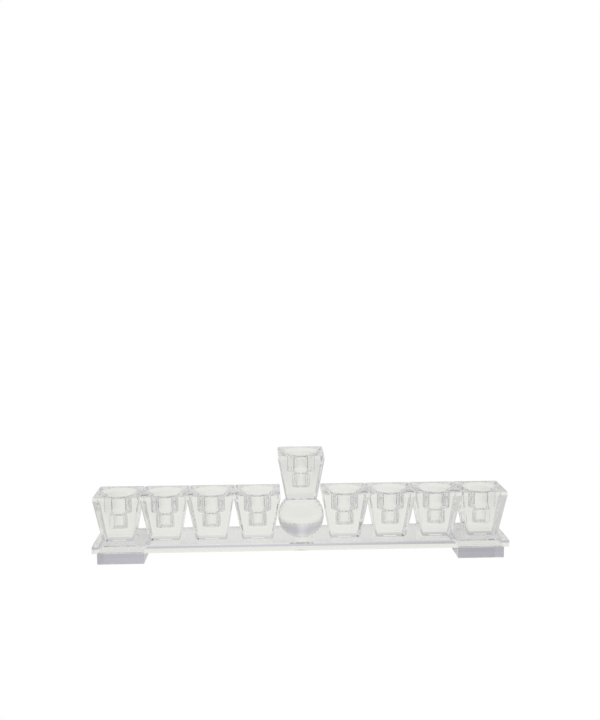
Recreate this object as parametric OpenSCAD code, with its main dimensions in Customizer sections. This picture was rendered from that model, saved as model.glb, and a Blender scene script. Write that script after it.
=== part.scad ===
// Nine-light menorah of clear crystal glass.
// A long bevelled slab stands on two block feet and carries eight tapered candle cups in a row.
// A ninth cup, the shamash, stands above them on a faceted ball in the middle.
// Every joint is a cured layer of clear adhesive, so nothing moves.
// Frame: X runs along the slab, Y from front to back, Z up, origin under the middle of the feet.

/* [Slab] */
// Distance that the slab runs on past the rim of the last cup
slab_end = 0.5; // [0:0.1:20]
// Depth of the slab, front to back
slab_w = 50; // [41:1:80]
// Thickness of the slab
slab_t = 6.8; // [4:0.1:12]
// Bevel along the top edges of the slab, at the front and the ends
slab_bevel = 0.9; // [0.4:0.1:2.5]
// Fine bevel along the top edge at the back
slab_back_bevel = 0.2; // [0.1:0.1:1]

/* [Feet] */
// Length of each foot block, along the slab
foot_l = 39.6; // [25:0.1:60]
// Height of each foot block
foot_h = 9.5; // [6:0.1:16]
// Distance of each foot from the end of the slab
foot_end_gap = 4.2; // [1:0.1:12]
// Distance of each foot from the front and the back of the slab
foot_side_gap = 1; // [0:0.1:6]
// Polished bevel on the lower edges of a foot
foot_bevel = 0.4; // [0.2:0.1:1.5]

/* [Cups] */
// Width of a cup across its rim
cup_top_w = 39.6; // [33:0.1:48]
// Width of a cup where it stands on the slab
cup_base_w = 25.6; // [21:0.1:31]
// Height of a cup
cup_h = 39.7; // [34:0.1:60]
// Height of the nearly upright band round the rim
rim_band_h = 2.7; // [1:0.1:4]
// Inset of the band at the rim
rim_band_in = 0.3; // [0:0.1:2]
// Height of the steep bevel round the base of a cup
base_bevel_h = 3.6; // [1:0.1:6]
// Inset of the steep bevel round the base of a cup
base_bevel_in = 1.1; // [0.3:0.1:3]
// Width of the flat ground on each upright corner, along one side
corner_cut = 1.4; // [0.4:0.1:3]

/* [Row] */
// Gap between the rims of neighbouring cups
cup_gap = 0.2; // [0.2:0.1:3]
// Clearance between the ball and the cup on each side of it
ball_gap = 1.1; // [0.5:0.1:6]
// Least clearance between the shamash cup and the rims beside it
shamash_gap = 2; // [0.5:0.1:6]

/* [Candle sockets] */
// Diameter of the candle socket
socket_d = 16; // [12:0.1:19.5]
// Solid glass left under the socket
socket_floor = 10.6; // [5:0.1:14]
// Depth below the rim at which the wide seat ends
seat_depth = 15.1; // [10:0.1:20]
// Width of the ledge between the socket and the foot of the seat
seat_ledge = 3.8; // [1:0.1:4]
// Draft of the seat, as the growth of its radius from foot to rim
seat_draft = 0.2; // [0:0.1:1.5]
// Height of the sloping shoulder between seat and socket
shoulder_h = 2; // [0.5:0.1:4]
// Width of the sloping dish round the mouth of the seat
dish_w = 3.3; // [0.5:0.1:3.4]
// Depth of the dish
dish_h = 2.4; // [0.5:0.1:4]

/* [Ball] */
// Diameter of the ball, across its facet corners
ball_d = 40; // [33:0.5:48]
// Diameter of the two flats that the ball is ground to
ball_flat_d = 21.7; // [18:0.1:26]
// Facets round the ball
ball_facets = 30; // [18:2:40]
// Rows of facets between the flats
ball_rows = 10; // [6:2:14]

/* [Adhesive] */
// Thickness of each cured adhesive film
film_t = 0.15; // [0.1:0.05:0.4]
// Distance that a film stays in from the edges of a foot, of a flat of the ball or of the shamash cup
film_inset = 0.3; // [0.1:0.1:1]
// Distance that the drop under a cup of the row stays in from the edges of its base
drop_inset = 7; // [0.3:0.1:9]

/* [Hidden] */
$fn = 96;
cut = 1;
side_cups = 4;
ball_r = ball_d / 2;
flat_angle = acos(ball_flat_d / ball_d);
ball_h = ball_d * sin(flat_angle);

// Levels, from the feet up.
slab_z = foot_h + film_t;
slab_top = slab_z + slab_t;
row_z = slab_top + film_t;
ball_top = row_z + ball_h;
shamash_z = ball_top + film_t;

// The straight side of a cup: its lower half width, its lean and its half width at a height.
side_foot = cup_base_w / 2 + base_bevel_in;
side_lean = atan((cup_top_w / 2 - side_foot) / (cup_h - rim_band_h - base_bevel_h));
function half_width(height) = side_foot + (height - base_bevel_h) * tan(side_lean);

// The row: the nearest cups clear both the ball and the shamash cup.
past_ball = (ball_r + ball_gap) / cos(side_lean) + half_width(ball_h / 2);
past_shamash = cup_top_w / 2 + shamash_gap + half_width(max(base_bevel_h, cup_h - ball_h));
first_cup_x = max(past_ball, past_shamash);
cup_pitch = cup_top_w + cup_gap;
cup_x = [
    for (side = [-1, 1], i = [0 : side_cups - 1])
        side * (first_cup_x + (side < 0 ? side_cups - 1 - i : i) * cup_pitch)
];
cup_count = len(cup_x);
slab_l = 2 * (cup_x[cup_count - 1] + cup_top_w / 2 + slab_end);
foot_w = slab_w - 2 * foot_side_gap;
foot_x = slab_l / 2 - foot_end_gap - foot_l / 2;

// The hollow of a cup.
seat_foot_d = socket_d + 2 * seat_ledge;
seat_mouth_d = seat_foot_d + 2 * seat_draft;

// Names of the nodes.
cup_names = [for (i = [1 : cup_count]) str("cup_", i)];
bond_names = [for (i = [1 : cup_count]) str("bond_cup_", i)];

// Half width and height of a cup's outline at its base, base bevel, rim band and rim.
cup_outline = [
    [cup_base_w / 2, 0],
    [side_foot, base_bevel_h],
    [cup_top_w / 2, cup_h - rim_band_h],
    [cup_top_w / 2 - rim_band_in, cup_h]
];
// The same outline measured along a diagonal, less the ground corner.
corner_outline = [for (p = cup_outline) [(2 * p[0] - corner_cut) / sqrt(2), p[1]]];

// Half width and height of the slab's outline at its underside, bevel and top.
function slab_outline(width, bevel) = [
    [width / 2, 0],
    [width / 2, slab_t - bevel],
    [width / 2 - bevel, slab_t]
];

// Half width and height of a foot's outline at its underside, bevel and top.
function foot_outline(width) = [
    [width / 2 - foot_bevel, 0],
    [width / 2, foot_bevel],
    [width / 2, foot_h]
];

// The other half of a section: an outline turned over to its far side, from top to bottom.
function turned_over(outline) = [for (i = [len(outline) - 1 : -1 : 0]) [-outline[i][0], outline[i][1]]];

// A prism along Y whose section is a closed outline.
module section_prism(section, length) {
    rotate([90, 0, 0])
        linear_extrude(height = length, center = true)
            polygon(section);
}

// A block whose long and cross sections are two closed outlines, so its bevels meet in mitres.
module section_block(along, across, reach) {
    intersection() {
        section_prism(along, reach);
        rotate([0, 0, 90]) section_prism(across, reach);
    }
}

// A block whose sections are each the same on both sides.
module outlined_block(along, across, reach) {
    section_block(concat(along, turned_over(along)), concat(across, turned_over(across)), reach);
}

// The stepped hollow of a cup: sloping dish, wide seat, sloping shoulder, candle socket.
module socket_hollow() {
    shoulder_z = cup_h - seat_depth;
    dish_z = cup_h - dish_h;
    translate([0, 0, socket_floor])
        cylinder(h = shoulder_z - socket_floor, d = socket_d);
    translate([0, 0, shoulder_z - shoulder_h])
        cylinder(h = shoulder_h, d1 = socket_d, d2 = seat_foot_d);
    translate([0, 0, shoulder_z])
        cylinder(h = seat_depth - dish_h, d1 = seat_foot_d, d2 = seat_mouth_d);
    translate([0, 0, dish_z])
        cylinder(
            h = dish_h + cut,
            d1 = seat_mouth_d,
            d2 = seat_mouth_d + 2 * dish_w * (1 + cut / dish_h)
        );
}

// One tapered cup, standing on the XY plane.
module candle_cup() {
    reach = 2 * cup_top_w;
    difference() {
        intersection() {
            outlined_block(cup_outline, cup_outline, reach);
            rotate([0, 0, 45]) outlined_block(corner_outline, corner_outline, reach);
        }
        socket_hollow();
    }
}

// One adhesive film under a square joint face.
module square_film(length, width, inset) {
    translate([0, 0, film_t / 2])
        cube([length - 2 * inset, width - 2 * inset, film_t], center = true);
}

// One adhesive film on a flat of the ball, inside the flat and inside the base of a cup.
module ball_film() {
    flat_r = ball_flat_d / 2 * cos(180 / ball_facets);
    cylinder(h = film_t, r = min(flat_r, cup_base_w / 2) - film_inset);
}

// Corner of the ball: ring 0 lies on the lower flat, and odd rings are turned half a facet.
function ball_corner(ring, i) =
    let (up = flat_angle * (2 * ring / ball_rows - 1), turn = 360 * (i + (ring % 2) / 2) / ball_facets)
    ball_r * [cos(up) * cos(turn), cos(up) * sin(turn), sin(up)];

// Place of a corner in the ball's list of points.
function ball_index(ring, i) = ring * ball_facets + i % ball_facets;

module base_plate() {
    along = slab_outline(slab_l, slab_bevel);
    front = slab_outline(slab_w, slab_bevel);
    back = slab_outline(slab_w, slab_back_bevel);
    color("gainsboro", 0.6)
        translate([0, 0, slab_z])
            section_block(
                concat(along, turned_over(along)),
                concat(back, turned_over(front)),
                slab_l + slab_w
            );
}

module foot(side) {
    color("lightsteelblue", 0.7)
        translate([side * foot_x, 0, 0])
            outlined_block(foot_outline(foot_l), foot_outline(foot_w), foot_l + foot_w);
}

module row_cup(i) {
    color("whitesmoke", 0.6)
        translate([cup_x[i], 0, row_z])
            candle_cup();
}

module shamash_cup() {
    color("aliceblue", 0.6)
        translate([0, 0, shamash_z])
            candle_cup();
}

module crystal_ball() {
    points = [for (ring = [0 : ball_rows], i = [0 : ball_facets - 1]) ball_corner(ring, i)];
    lower_flat = [for (i = [0 : ball_facets - 1]) ball_index(0, i)];
    upper_flat = [for (i = [ball_facets - 1 : -1 : 0]) ball_index(ball_rows, i)];
    standing = [
        for (ring = [0 : ball_rows - 1], i = [0 : ball_facets - 1])
            let (over = i + ring % 2)
            [ball_index(ring, i), ball_index(ring + 1, over), ball_index(ring, i + 1)]
    ];
    hanging = [
        for (ring = [1 : ball_rows], i = [0 : ball_facets - 1])
            let (under = i + ring % 2)
            [ball_index(ring, i), ball_index(ring, i + 1), ball_index(ring - 1, under)]
    ];
    color("white", 0.7)
        translate([0, 0, row_z + ball_h / 2])
            polyhedron(points = points, faces = concat([lower_flat, upper_flat], standing, hanging));
}

module bond_foot(side) {
    color("azure", 0.4)
        translate([side * foot_x, 0, foot_h])
            square_film(foot_l, foot_w, film_inset);
}

module bond_cup(i) {
    color("azure", 0.4)
        translate([cup_x[i], 0, slab_top])
            square_film(cup_base_w, cup_base_w, drop_inset);
}

module bond_ball() {
    color("azure", 0.4)
        translate([0, 0, slab_top])
            ball_film();
}

module bond_shamash() {
    color("azure", 0.4)
        translate([0, 0, ball_top])
            ball_film();
}

base_plate();
foot(-1);  // foot_left
foot(1);  // foot_right
crystal_ball();
shamash_cup();
for (i = [0 : cup_count - 1])
    row_cup(i);
bond_foot(-1);  // bond_foot_left
bond_foot(1);  // bond_foot_right
bond_ball();
bond_shamash();
for (i = [0 : cup_count - 1])
    bond_cup(i);
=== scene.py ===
"""Nine-light crystal menorah: its glass pieces, their finishes and a soft studio, round the frame."""

import logging
import math
from dataclasses import dataclass, field
from enum import Enum
from typing import Sequence

import bmesh
import bpy
from mathutils import Matrix, Vector


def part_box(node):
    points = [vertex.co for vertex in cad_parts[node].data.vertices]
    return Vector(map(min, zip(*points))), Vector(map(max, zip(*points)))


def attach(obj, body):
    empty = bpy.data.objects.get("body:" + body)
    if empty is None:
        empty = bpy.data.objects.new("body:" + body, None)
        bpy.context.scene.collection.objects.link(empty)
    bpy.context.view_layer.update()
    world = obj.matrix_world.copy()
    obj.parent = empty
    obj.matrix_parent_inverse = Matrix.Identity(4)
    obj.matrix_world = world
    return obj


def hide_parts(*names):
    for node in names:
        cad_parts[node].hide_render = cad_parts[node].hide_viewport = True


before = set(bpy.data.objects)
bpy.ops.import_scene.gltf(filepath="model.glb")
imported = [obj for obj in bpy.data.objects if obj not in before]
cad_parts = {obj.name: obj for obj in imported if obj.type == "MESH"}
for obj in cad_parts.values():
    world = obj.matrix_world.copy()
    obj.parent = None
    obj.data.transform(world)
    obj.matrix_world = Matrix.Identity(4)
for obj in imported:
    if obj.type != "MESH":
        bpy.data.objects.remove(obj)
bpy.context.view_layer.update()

LOG = logging.getLogger("menorah")
MM = 0.001
UM = MM * MM
BODY = "root"
SHAMASH_FILM = "bond_shamash"

# How near a plane a point lies to count as on it: where an edge is ground off, where a patch's outline is
# cut, and where a level face is looked for.
SHAVE_SLACK = 1e-8
PATCH_SLACK = 1e-7
LEVEL_SLACK = 1e-6

# Edges that turn less than this are shaded as one round surface.
ROUND_BELOW = math.radians(30)

# Length of one band of Blender's wave texture at a scale of 1.
WAVE_BAND = 0.314

# A closed loop of points.
Ring = list[Vector]


# ---------------------------------------------------------------------------
# Small helpers
# ---------------------------------------------------------------------------


def linear(hex_colour: str) -> tuple[float, float, float, float]:
    """Turns an sRGB hex colour into linear light.

    Args:
        hex_colour: Six hex digits, with or without a leading hash.

    Returns:
        Linear red, green and blue, and a full alpha.
    """
    digits = hex_colour.lstrip("#")
    parts = [int(digits[i : i + 2], 16) / 255 for i in (0, 2, 4)]
    curve = [c / 12.92 if c <= 0.04045 else ((c + 0.055) / 1.055) ** 2.4 for c in parts]
    return curve[0], curve[1], curve[2], 1.0


def add_node(
    tree: bpy.types.NodeTree,
    kind: str,
    settings: dict[str, object] | None = None,
    values: dict[str | int, object] | None = None,
    links: dict[str | int, bpy.types.NodeSocket] | None = None,
) -> bpy.types.Node:
    """Adds one shader node.

    Args:
        tree: The node tree that gets it.
        kind: Blender's name for the node type.
        settings: The node's own properties.
        values: Values for input sockets, by name or by place.
        links: Output sockets to join to input sockets, by name or by place.

    Returns:
        The new node.
    """
    node = tree.nodes.new(kind)
    for name, value in (settings or {}).items():
        setattr(node, name, value)
    for key, value in (values or {}).items():
        node.inputs[key].default_value = value
    for key, socket in (links or {}).items():
        tree.links.new(socket, node.inputs[key])
    return node


def fresh_tree(material: bpy.types.Material) -> bpy.types.NodeTree:
    """Empties a material's node tree.

    Args:
        material: The material.

    Returns:
        Its node tree, with no nodes.
    """
    material.use_nodes = True
    material.node_tree.nodes.clear()
    return material.node_tree


def box_middle(node: str) -> Vector:
    """Returns the middle of a frame node's box."""
    low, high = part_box(node)
    return (low + high) / 2


def box_size(node: str) -> Vector:
    """Returns the three extents of a frame node's box."""
    low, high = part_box(node)
    return high - low


# ---------------------------------------------------------------------------
# Finishes
# ---------------------------------------------------------------------------


class Surface(Enum):
    """How a face of the crystal was made."""

    POLISHED = "polished"
    BORED = "bored"
    JOINED = "joined"


@dataclass(frozen=True)
class Crystal:
    """Lead-free optical crystal glass, ground flat and polished.

    The eye gets sharp refraction, thin dark and bright lines at the edges, and a body so clear that only
    its bevels, bores and far edges show. Long, very shallow waves left by the polishing pad bend what shows
    through by a hair, and faint wiping haze softens a few highlights.
    """

    name: str
    body_hex: str = "#FEFEFE"
    ior: float = 1.52
    wave_mm: float = 9.0
    wave_depth_um: float = 1.2
    wave_detail: float = 1.0
    wave_grain: float = 0.4
    wipe_mm: float = 14.0
    wipe_detail: float = 4.0
    wipe_grain: float = 0.6
    wipe_from: float = 0.45
    wipe_to: float = 0.75
    haze: float = 0.012

    def material(self) -> bpy.types.Material:
        """Makes the polished glass, with pad waves in its normal and wiping haze in its roughness.

        Returns:
            The material.
        """
        material = bpy.data.materials.new(self.name)
        tree = fresh_tree(material)
        place = add_node(tree, "ShaderNodeTexCoord")
        waves = add_node(
            tree,
            "ShaderNodeTexNoise",
            values={
                "Scale": 1 / (self.wave_mm * MM),
                "Detail": self.wave_detail,
                "Roughness": self.wave_grain,
            },
            links={"Vector": place.outputs["Object"]},
        )
        bump = add_node(
            tree,
            "ShaderNodeBump",
            values={"Strength": 1.0, "Distance": self.wave_depth_um * UM},
            links={"Height": waves.outputs["Fac"]},
        )
        wipe = add_node(
            tree,
            "ShaderNodeTexNoise",
            values={
                "Scale": 1 / (self.wipe_mm * MM),
                "Detail": self.wipe_detail,
                "Roughness": self.wipe_grain,
            },
            links={"Vector": place.outputs["Object"]},
        )
        rough = add_node(
            tree,
            "ShaderNodeMapRange",
            values={
                "From Min": self.wipe_from,
                "From Max": self.wipe_to,
                "To Min": 0.0,
                "To Max": self.haze,
            },
            links={"Value": wipe.outputs["Fac"]},
        )
        shader = add_node(
            tree,
            "ShaderNodeBsdfPrincipled",
            values={
                "Base Color": linear(self.body_hex),
                "IOR": self.ior,
                "Transmission Weight": 1.0,
            },
            links={"Normal": bump.outputs["Normal"], "Roughness": rough.outputs["Result"]},
        )
        add_node(tree, "ShaderNodeOutputMaterial", links={"Surface": shader.outputs["BSDF"]})
        return material


@dataclass(frozen=True)
class BoredCrystal:
    """The same crystal where a core drill opened it and a felt bob polished the wall.

    The eye gets a clear wall with soft rings round it, which breaks the lines seen through it a little.
    """

    name: str
    body_hex: str = "#FEFEFE"
    ior: float = 1.52
    ring_mm: float = 1.6
    ring_depth_um: float = 0.8
    ring_wander: float = 1.5
    ring_detail: float = 1.0
    ring_grain: float = 0.4
    roughness: float = 0.03

    def material(self) -> bpy.types.Material:
        """Makes the bored glass, with tool rings in its normal.

        Returns:
            The material.
        """
        material = bpy.data.materials.new(self.name)
        tree = fresh_tree(material)
        place = add_node(tree, "ShaderNodeTexCoord")
        rings = add_node(
            tree,
            "ShaderNodeTexWave",
            settings={"wave_type": "BANDS", "bands_direction": "Z"},
            values={
                "Scale": WAVE_BAND / (self.ring_mm * MM),
                "Distortion": self.ring_wander,
                "Detail": self.ring_detail,
                "Detail Scale": self.ring_grain,
            },
            links={"Vector": place.outputs["Object"]},
        )
        bump = add_node(
            tree,
            "ShaderNodeBump",
            values={"Strength": 1.0, "Distance": self.ring_depth_um * UM},
            links={"Height": rings.outputs["Fac"]},
        )
        shader = add_node(
            tree,
            "ShaderNodeBsdfPrincipled",
            values={
                "Base Color": linear(self.body_hex),
                "IOR": self.ior,
                "Roughness": self.roughness,
                "Transmission Weight": 1.0,
            },
            links={"Normal": bump.outputs["Normal"]},
        )
        add_node(tree, "ShaderNodeOutputMaterial", links={"Surface": shader.outputs["BSDF"]})
        return material


@dataclass(frozen=True)
class Adhesive:
    """Clear adhesive cured by ultraviolet light between two polished faces.

    It has the crystal's own index, so light crosses the joint as if the two blocks were one. The eye gets
    only a few pin-prick bubbles where the drop spread. A bubble's core and edge are given as shares of the
    bubbles' spacing.
    """

    name: str
    bubble_mm: float = 3.5
    bubble_core: float = 0.03
    bubble_edge: float = 0.06
    bubble_cover: float = 0.6
    bubble_hex: str = "#F2F3F2"

    def material(self) -> bpy.types.Material:
        """Makes the wetted joint: clear, with sparse small bubbles.

        Returns:
            The material.
        """
        material = bpy.data.materials.new(self.name)
        tree = fresh_tree(material)
        place = add_node(tree, "ShaderNodeTexCoord")
        cells = add_node(
            tree,
            "ShaderNodeTexVoronoi",
            values={"Scale": 1 / (self.bubble_mm * MM), "Randomness": 1.0},
            links={"Vector": place.outputs["Object"]},
        )
        speck = add_node(
            tree,
            "ShaderNodeMapRange",
            values={
                "From Min": self.bubble_core,
                "From Max": self.bubble_edge,
                "To Min": self.bubble_cover,
                "To Max": 0.0,
            },
            links={"Value": cells.outputs["Distance"]},
        )
        clear = add_node(tree, "ShaderNodeBsdfTransparent")
        bubble = add_node(
            tree, "ShaderNodeBsdfDiffuse", values={"Color": linear(self.bubble_hex)}
        )
        mix = add_node(
            tree,
            "ShaderNodeMixShader",
            links={0: speck.outputs["Result"], 1: clear.outputs[0], 2: bubble.outputs[0]},
        )
        add_node(tree, "ShaderNodeOutputMaterial", links={"Surface": mix.outputs[0]})
        return material


# ---------------------------------------------------------------------------
# Mesh work
# ---------------------------------------------------------------------------


class Skin:
    """A closed mesh that is put together ring by ring or face by face."""

    def __init__(self, name: str) -> None:
        """Starts an empty mesh.

        Args:
            name: Name of the piece that it becomes.
        """
        self.name = name
        self.mesh = bmesh.new()
        self.kinds = list(Surface)

    def place(self, ring: Ring) -> list[bmesh.types.BMVert]:
        """Adds a ring's points and returns their vertices."""
        return [self.mesh.verts.new(point) for point in ring]

    def face(self, verts: Sequence[bmesh.types.BMVert], kind: Surface, smooth: bool = False) -> None:
        """Adds one face.

        Args:
            verts: Its corners in order, seen from outside anticlockwise.
            kind: How the face was made, which picks its finish.
            smooth: True on a round wall.
        """
        new = self.mesh.faces.new(verts)
        new.material_index = self.kinds.index(kind)
        new.smooth = smooth

    def band(
        self,
        lower: Sequence[bmesh.types.BMVert],
        upper: Sequence[bmesh.types.BMVert],
        kind: Surface,
        smooth: bool = False,
    ) -> None:
        """Joins two rings of equal length with quads.

        Args:
            lower: Vertices of the first ring.
            upper: Vertices of the next ring, further along the skin.
            kind: How the band was made.
            smooth: True on a round wall.
        """
        count = len(lower)
        for i in range(count):
            after = (i + 1) % count
            self.face((lower[i], lower[after], upper[after], upper[i]), kind, smooth)

    def shave(self, spot: Vector, outward: Vector) -> None:
        """Grinds away all that lies beyond a plane and closes the cut with one flat face.

        Args:
            spot: A point on the plane.
            outward: The plane's direction, away from what stays.
        """
        whole = list(self.mesh.verts) + list(self.mesh.edges) + list(self.mesh.faces)
        cut = bmesh.ops.bisect_plane(
            self.mesh, geom=whole, plane_co=spot, plane_no=outward, clear_outer=True, dist=SHAVE_SLACK
        )
        rim = [g for g in cut["geom_cut"] if isinstance(g, bmesh.types.BMEdge)]
        bmesh.ops.edgenet_fill(self.mesh, edges=rim)

    def arris(self, width: float, least: float = math.radians(5)) -> None:
        """Grinds a fine flat along every hard outer edge.

        Args:
            width: How far the flat reaches to each side of the edge.
            least: Edges that turn less than this stay.
        """
        hard = [
            e
            for e in self.mesh.edges
            if len(e.link_faces) == 2
            and not any(f.smooth for f in e.link_faces)
            and e.calc_face_angle(0.0) > least
        ]
        bmesh.ops.bevel(
            self.mesh,
            geom=hard,
            offset=width,
            segments=1,
            affect="EDGES",
            profile=0.5,
            clamp_overlap=True,
        )

    def finish(self, finishes: dict[Surface, bpy.types.Material]) -> bpy.types.Object:
        """Closes the mesh, gives it its materials and links it.

        Args:
            finishes: A material for each kind of surface.

        Returns:
            The object, placed by the frame's own coordinates.
        """
        bmesh.ops.recalc_face_normals(self.mesh, faces=self.mesh.faces)
        for edge in self.mesh.edges:
            faces = edge.link_faces
            edge.smooth = len(faces) == 2 and edge.calc_face_angle(0.0) < ROUND_BELOW
        data = bpy.data.meshes.new(self.name)
        self.mesh.to_mesh(data)
        self.mesh.free()
        for kind in self.kinds:
            data.materials.append(finishes[kind])
        piece = bpy.data.objects.new(self.name, data)
        bpy.context.scene.collection.objects.link(piece)
        return piece


def square_ring(half: float, cut: float, height: float, side: int, corner: int) -> Ring:
    """Returns a square outline with cut corners, round the Z axis.

    Args:
        half: Half the width of the square.
        cut: Leg of the cut at each corner.
        height: Height of the ring.
        side: Steps along each side.
        corner: Steps across each cut corner.

    Returns:
        The ring's points, anticlockwise from above.
    """
    start = Vector((half, cut - half))
    turn = Vector((half, half - cut))
    end = Vector((half - cut, half))
    quarter = [start.lerp(turn, i / side) for i in range(side)]
    quarter += [turn.lerp(end, i / corner) for i in range(corner)]
    ring = []
    for k in range(4):
        spin = Matrix.Rotation(k * math.pi / 2, 2)
        ring += [(spin @ p).to_3d() + Vector((0, 0, height)) for p in quarter]
    return ring


def round_ring(radius: float, height: float, side: int, corner: int) -> Ring:
    """Returns a circle whose points pair with those of a square ring.

    Args:
        radius: Radius of the circle.
        height: Height of the ring.
        side: Steps along each side of the square ring.
        corner: Steps across each of its cut corners.

    Returns:
        The ring's points, anticlockwise from above.
    """
    count = 4 * (side + corner)
    first = -math.pi / 4 * side / (side + corner)
    return [
        Vector((radius * math.cos(a), radius * math.sin(a), height))
        for a in (first + 2 * math.pi * i / count for i in range(count))
    ]


def softened(section: Sequence[Vector], reach: float, steps: int = 4) -> list[Vector]:
    """Rounds each inner corner of a section, as a polishing bob does.

    Args:
        section: Corners of the section, as radius and height.
        reach: Distance from a corner at which its curve starts and ends.
        steps: Steps along each curve.

    Returns:
        The section with its curves.
    """
    soft = [section[0]]
    for before, corner, after in zip(section, section[1:], section[2:]):
        start = corner + reach * (before - corner).normalized()
        end = corner + reach * (after - corner).normalized()
        for i in range(steps + 1):
            t = i / steps
            soft.append(start.lerp(corner, t).lerp(corner.lerp(end, t), t))
    return soft + [section[-1]]


def on_sphere(middle: Vector, radius: float, up: float, turn: float) -> Vector:
    """Finds a point on a sphere.

    Args:
        middle: The sphere's middle.
        radius: The sphere's radius.
        up: Angle of the point above the middle's level.
        turn: Angle of the point round the Z axis.

    Returns:
        The point.
    """
    way = Vector((math.cos(up) * math.cos(turn), math.cos(up) * math.sin(turn), math.sin(up)))
    return middle + radius * way


# ---------------------------------------------------------------------------
# The pieces
# ---------------------------------------------------------------------------


@dataclass
class Cup:
    """One square tapered candle cup, cut from a block and bored from above."""

    node: str
    film: str
    base_width: float = 25.6 * MM
    rim_band_height: float = 2.7 * MM
    rim_band_inset: float = 0.3 * MM
    base_bevel_height: float = 3.6 * MM
    base_bevel_inset: float = 1.1 * MM
    corner_cut: float = 1.4 * MM
    socket_radius: float = 8.0 * MM
    socket_floor: float = 10.6 * MM
    seat_depth: float = 15.1 * MM
    seat_ledge: float = 3.8 * MM
    seat_draft: float = 0.2 * MM
    shoulder_height: float = 2.0 * MM
    dish_width: float = 3.3 * MM
    dish_depth: float = 2.4 * MM
    soft_reach: float = 1.1 * MM
    drop_corner: float = 0.4 * MM
    arris: float = 0.18 * MM
    side_steps: int = 22
    corner_steps: int = 2

    def square(self, half: float, cut: float, height: float) -> Ring:
        """Returns one of the cup's square rings."""
        return square_ring(half, cut, height, self.side_steps, self.corner_steps)

    def circle(self, radius: float, height: float) -> Ring:
        """Returns one of the cup's round rings."""
        return round_ring(radius, height, self.side_steps, self.corner_steps)

    def outer_rings(self, top_half: float, height: float) -> list[Ring]:
        """Lays out the outside, from the base to the flat of the rim.

        Args:
            top_half: Half the cup's greatest width, at the foot of the rim's band.
            height: Height of the cup.

        Returns:
            The rings, from below upwards.
        """
        base_half = self.base_width / 2
        cut = self.corner_cut
        return [
            self.square(base_half, cut, 0),
            self.square(base_half + self.base_bevel_inset, cut, self.base_bevel_height),
            self.square(top_half, cut, height - self.rim_band_height),
            self.square(top_half - self.rim_band_inset, cut, height),
        ]

    def bore_rings(self, height: float) -> list[Ring]:
        """Lays out the bore, from the flat of the rim down to the socket's floor.

        Args:
            height: Height of the cup.

        Returns:
            The rings, from above downwards.
        """
        seat_foot = self.socket_radius + self.seat_ledge
        mouth = seat_foot + self.seat_draft
        shoulder = height - self.seat_depth
        section = [
            Vector((mouth, height - self.dish_depth)),
            Vector((seat_foot, shoulder)),
            Vector((self.socket_radius, shoulder - self.shoulder_height)),
            Vector((self.socket_radius, self.socket_floor)),
            Vector((self.socket_radius / 2, self.socket_floor)),
        ]
        dish = self.circle(mouth + self.dish_width, height)
        return [dish] + [self.circle(*point) for point in softened(section, self.soft_reach)]

    def joint_ring(self) -> Ring:
        """Lays out the edge of the adhesive on the cup's base.

        Returns:
            The ring, which is round under the shamash cup and square under the others.
        """
        half = box_size(self.film).x / 2
        if self.film == SHAMASH_FILM:
            return self.circle(half, 0)
        return self.square(half, self.drop_corner, 0)

    def build(self, finishes: dict[Surface, bpy.types.Material]) -> bpy.types.Object:
        """Builds the cup where its frame node stands.

        Args:
            finishes: A material for each kind of surface.

        Returns:
            The cup's object.
        """
        size, middle = box_size(self.node), box_middle(self.node)
        foot = Vector((middle.x, middle.y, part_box(self.node)[0].z))
        skin = Skin(self.node + "_crystal")
        rings = self.outer_rings(size.x / 2, size.z)
        outside = [skin.place([foot + p for p in ring]) for ring in rings]
        bore = [skin.place([foot + p for p in ring]) for ring in self.bore_rings(size.z)]
        joint = skin.place([foot + p for p in self.joint_ring()])
        skin.face(list(reversed(joint)), Surface.JOINED)
        skin.band(joint, outside[0], Surface.POLISHED)
        for lower, upper in zip(outside, outside[1:] + bore[:1]):
            skin.band(lower, upper, Surface.POLISHED)
        for lower, upper in zip(bore, bore[1:]):
            skin.band(lower, upper, Surface.BORED, smooth=True)
        skin.face(bore[-1], Surface.BORED, smooth=True)
        skin.arris(self.arris)
        piece = skin.finish(finishes)
        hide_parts(self.node)
        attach(piece, BODY)
        return piece


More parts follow.
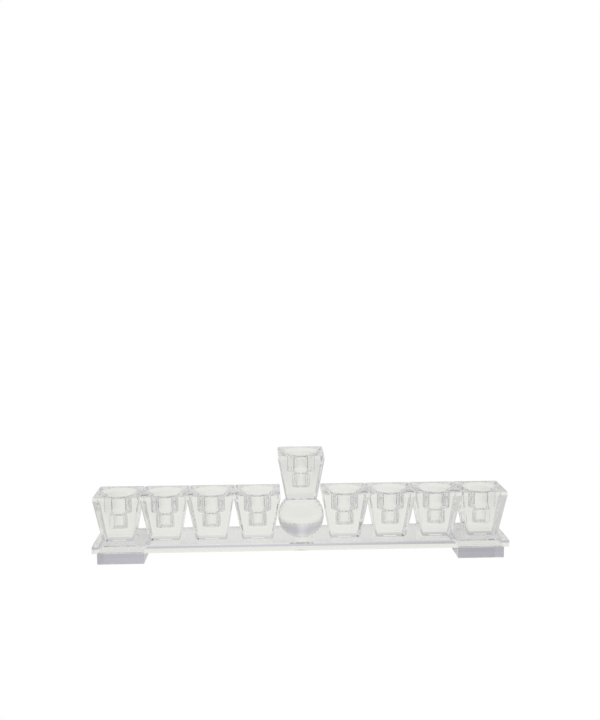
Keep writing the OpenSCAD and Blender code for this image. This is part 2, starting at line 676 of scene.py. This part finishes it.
@dataclass
class Ball:
    """The faceted ball between the slab and the shamash cup."""

    node: str = "crystal_ball"
    facets: int = 30
    rows: int = 10
    film: str = "bond_ball"
    arris: float = 0.05 * MM

    def build(self, finishes: dict[Surface, bpy.types.Material]) -> bpy.types.Object:
        """Builds the ball between its two ground flats.

        Args:
            finishes: A material for each kind of surface.

        Returns:
            The ball's object.
        """
        size, middle = box_size(self.node), box_middle(self.node)
        radius = size.y / 2
        flat_angle = math.asin(size.z / 2 / radius)
        skin = Skin(self.node + "_crystal")
        rings = []
        for row in range(self.rows + 1):
            up = flat_angle * (2 * row / self.rows - 1)
            turns = (2 * math.pi * (i + (row % 2) / 2) / self.facets for i in range(self.facets))
            rings.append(skin.place([on_sphere(middle, radius, up, turn) for turn in turns]))
        for row in range(self.rows):
            lower, upper, turned = rings[row], rings[row + 1], row % 2
            for i in range(self.facets):
                after = (i + 1) % self.facets
                ahead = (i + turned) % self.facets
                behind = (i + turned - 1) % self.facets
                skin.face((lower[i], lower[after], upper[ahead]), Surface.POLISHED)
                skin.face((lower[i], upper[ahead], upper[behind]), Surface.POLISHED)
        film_radius = box_size(self.film).x / 2
        for ring, side in ((rings[0], -1), (rings[-1], 1)):
            centre = middle + Vector((0, 0, side * size.z / 2))
            joint = skin.place([centre + film_radius * (v.co - centre).normalized() for v in ring])
            if side < 0:
                skin.band(joint, ring, Surface.POLISHED)
                skin.face(list(reversed(joint)), Surface.JOINED)
            else:
                skin.band(ring, joint, Surface.POLISHED)
                skin.face(joint, Surface.JOINED)
        skin.arris(self.arris)
        piece = skin.finish(finishes)
        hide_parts(self.node)
        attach(piece, BODY)
        return piece


@dataclass
class Slab:
    """The long slab, bevelled along its top edges, with wetted patches where other pieces are bonded."""

    node: str = "base_plate"
    bevel: float = 0.9 * MM
    back_bevel: float = 0.2 * MM
    arris: float = 0.18 * MM
    arris_least: float = math.radians(60)
    cup_films: Sequence[str] = ()
    foot_films: Sequence[str] = ()
    ball_film: str = "bond_ball"
    disc_steps: int = 48

    def build(self, finishes: dict[Surface, bpy.types.Material]) -> bpy.types.Object:
        """Builds the slab.

        Args:
            finishes: A material for each kind of surface.

        Returns:
            The slab's object.
        """
        low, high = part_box(self.node)
        skin = Skin(self.node + "_crystal")
        under, over = (skin.place(self.rectangle(low, high, z)) for z in (low.z, high.z))
        skin.face(list(reversed(under)), Surface.POLISHED)
        skin.band(under, over, Surface.POLISHED)
        skin.face(over, Surface.POLISHED)
        up = Vector((0, 0, 1))
        for edge, way, bevel in (
            (low, Vector((-1, 0, 0)), self.bevel),
            (high, Vector((1, 0, 0)), self.bevel),
            (low, Vector((0, -1, 0)), self.bevel),
            (high, Vector((0, 1, 0)), self.back_bevel),
        ):
            skin.shave(Vector((edge.x, edge.y, high.z)) - bevel * up, way + up)
        skin.arris(self.arris, self.arris_least)
        self.mark_patches(skin, self.cup_films, high.z)
        self.mark_patches(skin, self.foot_films, low.z)
        self.mark_disc(skin, high.z)
        piece = skin.finish(finishes)
        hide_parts(self.node)
        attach(piece, BODY)
        return piece

    @staticmethod
    def rectangle(low: Vector, high: Vector, height: float) -> Ring:
        """Lays out a level rectangle.

        Args:
            low: Its corner with the lowest X and Y.
            high: Its corner with the highest X and Y.
            height: Height of the ring.

        Returns:
            Its corners, anticlockwise from above.
        """
        return [
            Vector((x, y, height))
            for x, y in ((low.x, low.y), (high.x, low.y), (high.x, high.y), (low.x, high.y))
        ]

    @staticmethod
    def level_faces(skin: Skin, height: float) -> list[bmesh.types.BMFace]:
        """Returns the faces that lie flat at a height."""
        return [f for f in skin.mesh.faces if all(abs(v.co.z - height) < LEVEL_SLACK for v in f.verts)]

    @staticmethod
    def mark_patches(skin: Skin, films: Sequence[str], height: float) -> None:
        """Cuts the outline of each film into the face it lies on and marks the patch as joined.

        Args:
            skin: The slab's mesh.
            films: The frame nodes of the films.
            height: Height of the face.
        """
        for film in films:
            low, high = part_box(film)
            for axis in (0, 1):
                for edge in (low, high):
                    spot, normal = Vector(), Vector()
                    spot[axis], normal[axis] = edge[axis], 1
                    flat = Slab.level_faces(skin, height)
                    if axis == 1:
                        flat = [f for f in flat if low.x < f.calc_center_median().x < high.x]
                    edges = {e for f in flat for e in f.edges}
                    corners = {v for f in flat for v in f.verts}
                    bmesh.ops.bisect_plane(
                        skin.mesh,
                        geom=[*flat, *edges, *corners],
                        plane_co=spot,
                        plane_no=normal,
                        dist=PATCH_SLACK,
                    )
            for f in Slab.level_faces(skin, height):
                c = f.calc_center_median()
                if low.x < c.x < high.x and low.y < c.y < high.y:
                    f.material_index = skin.kinds.index(Surface.JOINED)

    def mark_disc(self, skin: Skin, height: float) -> None:
        """Cuts the round film of the ball into the top and marks it as joined.

        Args:
            skin: The slab's mesh.
            height: Height of the top.
        """
        middle, radius = box_middle(self.ball_film), box_size(self.ball_film).x / 2
        around = self.disc_steps
        host = min(
            self.level_faces(skin, height), key=lambda f: (f.calc_center_bounds() - middle).length
        )
        corners = sorted(
            host.verts, key=lambda v: math.atan2(v.co.y - middle.y, v.co.x - middle.x)
        )
        skin.mesh.faces.remove(host)
        disc = skin.place(
            [
                Vector((middle.x + radius * math.cos(a), middle.y + radius * math.sin(a), height))
                for a in (2 * math.pi * i / around - math.pi for i in range(around))
            ]
        )
        skin.face(disc, Surface.JOINED)

        def nearest(v: bmesh.types.BMVert) -> int:
            """Returns the disc point in line with a corner."""
            a = math.atan2(v.co.y - middle.y, v.co.x - middle.x) + math.pi
            return round(a / (2 * math.pi) * around) % around

        for k, corner in enumerate(corners):
            following = corners[(k + 1) % len(corners)]
            start, stop = nearest(corner), nearest(following)
            steps = (stop - start) % around
            arc = [disc[(start + s) % around] for s in range(steps + 1)]
            skin.face([corner, following] + list(reversed(arc)), Surface.POLISHED)


@dataclass
class Foot:
    """One block foot, bonded under the slab."""

    node: str
    film: str
    bevel: float = 0.4 * MM
    arris: float = 0.15 * MM

    def build(self, finishes: dict[Surface, bpy.types.Material]) -> bpy.types.Object:
        """Builds the foot.

        Args:
            finishes: A material for each kind of surface.

        Returns:
            The foot's object.
        """
        low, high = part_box(self.node)
        skin = Skin(self.node + "_crystal")
        inset = Vector((self.bevel, self.bevel, 0))
        film_low, film_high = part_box(self.film)
        levels = [
            Slab.rectangle(low + inset, high - inset, low.z),
            Slab.rectangle(low, high, low.z + self.bevel),
            Slab.rectangle(low, high, high.z),
            Slab.rectangle(film_low, film_high, high.z),
        ]
        rings = [skin.place(ring) for ring in levels]
        skin.face(list(reversed(rings[0])), Surface.POLISHED)
        for lower, upper in zip(rings, rings[1:]):
            skin.band(lower, upper, Surface.POLISHED)
        skin.face(rings[-1], Surface.JOINED)
        skin.arris(self.arris)
        piece = skin.finish(finishes)
        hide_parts(self.node)
        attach(piece, BODY)
        return piece


# ---------------------------------------------------------------------------
# Studio
# ---------------------------------------------------------------------------


@dataclass
class Studio:
    """A white sweep in a soft light tent, and the camera.

    The floor carries a painted pool of light: it glows most round the piece and fades outward. The tent's
    tones are given by height, from the horizon at 0 to straight above at 1. Its sides and the room in front
    are dimmer, and where that dimness starts and ends is given by how far a direction points to the side,
    or back (plus) or front (minus). The camera itself sees plain white wherever no glass stands.
    """

    eye: Vector = field(default_factory=lambda: Vector((-28.55, -769.2, 259.83)) * MM)
    yaw: float = math.radians(-2.125)
    pitch: float = math.radians(6.69)
    roll: float = math.radians(-0.334)
    lens_mm: float = 45.29
    sensor_mm: float = 36.0
    paper_hex: str = "#8F8F8D"
    # Painted pool of light on the floor: its colour, its share far from the piece, its fade and its shape.
    painted_light_hex: str = "#D7D7D2"
    far_painted_light: float = 0.84
    fade_from: float = 0.15
    fade_to: float = 1.2
    painted_pool_depth: float = 1.6
    painted_pool_width: float = 0.4
    seen_hex: str = "#FFFFFF"
    tent: Sequence[tuple[float, str]] = (
        (0.0, "#E1E1DF"),
        (0.05, "#DFDFDD"),
        (0.12, "#D9D9DA"),
        (0.22, "#D0CFD5"),
        (0.38, "#D0CFD5"),
        (0.60, "#E2E2E3"),
        (0.97, "#EEEEEE"),
    )
    left_gain: float = 0.84
    right_gain: float = 0.76
    side_reach: float = 0.25
    front_gain: float = 0.35
    front_from: float = -0.75
    front_to: float = -0.2
    floor_gap: float = 0.2 * MM
    floor_reach: float = 6.0
    glass_bounces: int = 40
    mirror_bounces: int = 24
    clear_bounces: int = 64

    def camera(self) -> None:
        """Sets up the camera."""
        data = bpy.data.cameras.new("camera")
        data.lens = self.lens_mm
        data.sensor_width = self.sensor_mm
        camera = bpy.data.objects.new("camera", data)
        bpy.context.scene.collection.objects.link(camera)
        look = Vector(
            (
                -math.sin(self.yaw) * math.cos(self.pitch),
                math.cos(self.yaw) * math.cos(self.pitch),
                -math.sin(self.pitch),
            )
        )
        right = Vector((math.cos(self.yaw), math.sin(self.yaw), 0))
        level = Matrix((right, right.cross(look), -look)).transposed()
        turned = level @ Matrix.Rotation(self.roll, 3, "Z")
        camera.matrix_world = Matrix.Translation(self.eye) @ turned.to_4x4()
        bpy.context.scene.camera = camera

    def paper(self) -> bpy.types.Material:
        """Makes the floor's white paper with a painted pool of light, glowing most round the piece.

        Returns:
            The material.
        """
        material = bpy.data.materials.new("white_paper_sweep_painted_light")
        tree = fresh_tree(material)
        place = add_node(tree, "ShaderNodeTexCoord")
        shrunk = add_node(
            tree,
            "ShaderNodeVectorMath",
            settings={"operation": "DIVIDE"},
            values={1: (self.painted_pool_width, self.painted_pool_depth, 1.0)},
            links={0: place.outputs["Object"]},
        )
        away = add_node(
            tree,
            "ShaderNodeVectorMath",
            settings={"operation": "LENGTH"},
            links={0: shrunk.outputs["Vector"]},
        )
        fade = add_node(
            tree,
            "ShaderNodeMapRange",
            settings={"interpolation_type": "SMOOTHSTEP"},
            values={
                "From Min": self.fade_from,
                "From Max": self.fade_to,
                "To Min": 1.0,
                "To Max": self.far_painted_light,
            },
            links={"Value": away.outputs["Value"]},
        )
        lit = add_node(tree, "ShaderNodeBsdfDiffuse", values={"Color": linear(self.paper_hex)})
        # Painted light: the floor glows as a pool of light round the piece, brightest near it, though it is
        # no lamp.
        painted_glow = add_node(
            tree,
            "ShaderNodeEmission",
            values={"Color": linear(self.painted_light_hex)},
            links={"Strength": fade.outputs["Result"]},
        )
        paper = add_node(tree, "ShaderNodeAddShader", links={0: lit.outputs[0], 1: painted_glow.outputs[0]})
        seen = add_node(
            tree, "ShaderNodeEmission", values={"Color": linear(self.seen_hex), "Strength": 1.0}
        )
        path = add_node(tree, "ShaderNodeLightPath")
        mix = add_node(
            tree,
            "ShaderNodeMixShader",
            links={0: path.outputs["Is Camera Ray"], 1: paper.outputs[0], 2: seen.outputs[0]},
        )
        add_node(tree, "ShaderNodeOutputMaterial", links={"Surface": mix.outputs[0]})
        return material

    def floor(self) -> None:
        """Lays the plain pale floor, with its painted pool of light, a hair under the feet."""
        mesh = bmesh.new()
        bmesh.ops.create_grid(mesh, x_segments=1, y_segments=1, size=self.floor_reach)
        data = bpy.data.meshes.new("floor")
        mesh.to_mesh(data)
        mesh.free()
        data.materials.append(self.paper())
        floor = bpy.data.objects.new("floor", data)
        floor.location.z = -self.floor_gap
        bpy.context.scene.collection.objects.link(floor)

    def tones(self, tree: bpy.types.NodeTree, height: bpy.types.NodeSocket) -> bpy.types.NodeSocket:
        """Gives the tent its tones by height.

        Args:
            tree: The tent's node tree.
            height: How far a direction rises, from 0 to 1.

        Returns:
            The colour.
        """
        rise = add_node(tree, "ShaderNodeValToRGB", links={"Fac": height})
        stops = rise.color_ramp.elements
        for stop, (height, colour) in zip((stops[0], stops[1]), (self.tent[0], self.tent[-1])):
            stop.position, stop.color = height, linear(colour)
        for height, colour in self.tent[1:-1]:
            stops.new(height).color = linear(colour)
        return rise.outputs["Color"]

    def dimness(self, tree: bpy.types.NodeTree, way: bpy.types.Node) -> bpy.types.NodeSocket:
        """Dims the tent at both sides and in front.

        Args:
            tree: The tent's node tree.
            way: A node that gives the X and Y of a direction.

        Returns:
            The brightness, 1 where the tent isn't dimmed.
        """
        aside = add_node(
            tree,
            "ShaderNodeMapRange",
            values={"From Min": -self.side_reach, "From Max": self.side_reach},
            links={"Value": way.outputs["X"]},
        )
        across = add_node(tree, "ShaderNodeValToRGB", links={"Fac": aside.outputs["Result"]})
        sides = across.color_ramp
        sides.interpolation = "EASE"
        for element, gain in zip(sides.elements, (self.left_gain, self.right_gain)):
            element.color = (gain, gain, gain, 1.0)
        sides.elements.new(0.5).color = (1.0, 1.0, 1.0, 1.0)
        front = add_node(
            tree,
            "ShaderNodeMapRange",
            settings={"interpolation_type": "SMOOTHSTEP"},
            values={
                "From Min": self.front_from,
                "From Max": self.front_to,
                "To Min": self.front_gain,
                "To Max": 1.0,
            },
            links={"Value": way.outputs["Y"]},
        )
        both = add_node(
            tree,
            "ShaderNodeMath",
            settings={"operation": "MULTIPLY"},
            links={0: across.outputs["Color"], 1: front.outputs["Result"]},
        )
        return both.outputs[0]

    def light(self) -> None:
        """Surrounds the piece with the tent: pale sweep behind, cool walls, dim room in front."""
        world = bpy.data.worlds.new("light_tent")
        bpy.context.scene.world = world
        world.use_nodes = True
        tree = world.node_tree
        tree.nodes.clear()
        place = add_node(tree, "ShaderNodeTexCoord")
        way = add_node(tree, "ShaderNodeSeparateXYZ", links={0: place.outputs["Generated"]})
        path = add_node(tree, "ShaderNodeLightPath")
        room = add_node(
            tree,
            "ShaderNodeBackground",
            links={"Color": self.tones(tree, way.outputs["Z"]), "Strength": self.dimness(tree, way)},
        )
        seen = add_node(tree, "ShaderNodeBackground", values={"Color": linear(self.seen_hex)})
        mix = add_node(
            tree,
            "ShaderNodeMixShader",
            links={0: path.outputs["Is Camera Ray"], 1: room.outputs[0], 2: seen.outputs[0]},
        )
        add_node(tree, "ShaderNodeOutputWorld", links={"Surface": mix.outputs[0]})

    def exposure(self) -> None:
        """Keeps the tones as they are lit and lets light cross all the glass in its way."""
        scene = bpy.context.scene
        scene.view_settings.view_transform = "Standard"
        scene.cycles.max_bounces = self.glass_bounces
        scene.cycles.transmission_bounces = self.glass_bounces
        scene.cycles.glossy_bounces = self.mirror_bounces
        scene.cycles.transparent_max_bounces = self.clear_bounces


# ---------------------------------------------------------------------------
# Assembly
# ---------------------------------------------------------------------------


def dress_films(adhesive: bpy.types.Material) -> list[bpy.types.Object]:
    """Gives every adhesive film of the frame its finish.

    Args:
        adhesive: The cured adhesive.

    Returns:
        The films' objects.
    """
    films = [piece for node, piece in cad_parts.items() if node.startswith("bond_")]
    for film in films:
        film.data.materials.clear()
        film.data.materials.append(adhesive)
    return films


def report(piece: bpy.types.Object) -> None:
    """Logs a piece's name and its number of faces."""
    LOG.info("%s: %d faces", piece.name, len(piece.data.polygons))


def main() -> None:
    """Builds the menorah and its studio."""
    logging.basicConfig(level=logging.INFO, format="%(name)s %(message)s")
    adhesive = Adhesive("cured_clear_adhesive").material()
    clear = {
        Surface.POLISHED: Crystal("polished_crystal").material(),
        Surface.BORED: BoredCrystal("bored_crystal").material(),
        Surface.JOINED: adhesive,
    }
    # The feet's crystal is tinted a little greyer and bluer than the rest as painted shade: it stands in
    # for the shaded floor under each foot, seen through the foot.
    feet_painted_shade_finishes = {**clear, Surface.POLISHED: Crystal("foot_crystal_painted_shade", body_hex="#EEEFF1").material()}
    row = sorted(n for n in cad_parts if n.startswith("cup_"))
    cups = [Cup(node, f"bond_{node}") for node in row] + [Cup("shamash_cup", SHAMASH_FILM)]
    builders = [
        Slab(cup_films=[f"bond_{n}" for n in row], foot_films=["bond_foot_left", "bond_foot_right"]),
        Foot("foot_left", "bond_foot_left"),
        Foot("foot_right", "bond_foot_right"),
        Ball(),
        *cups,
    ]
    for builder in builders:
        report(builder.build(feet_painted_shade_finishes if isinstance(builder, Foot) else clear))
    for film in dress_films(adhesive):
        report(film)
    studio = Studio()
    studio.floor()
    studio.light()
    studio.exposure()
    studio.camera()


if __name__ == "__main__":
    main()
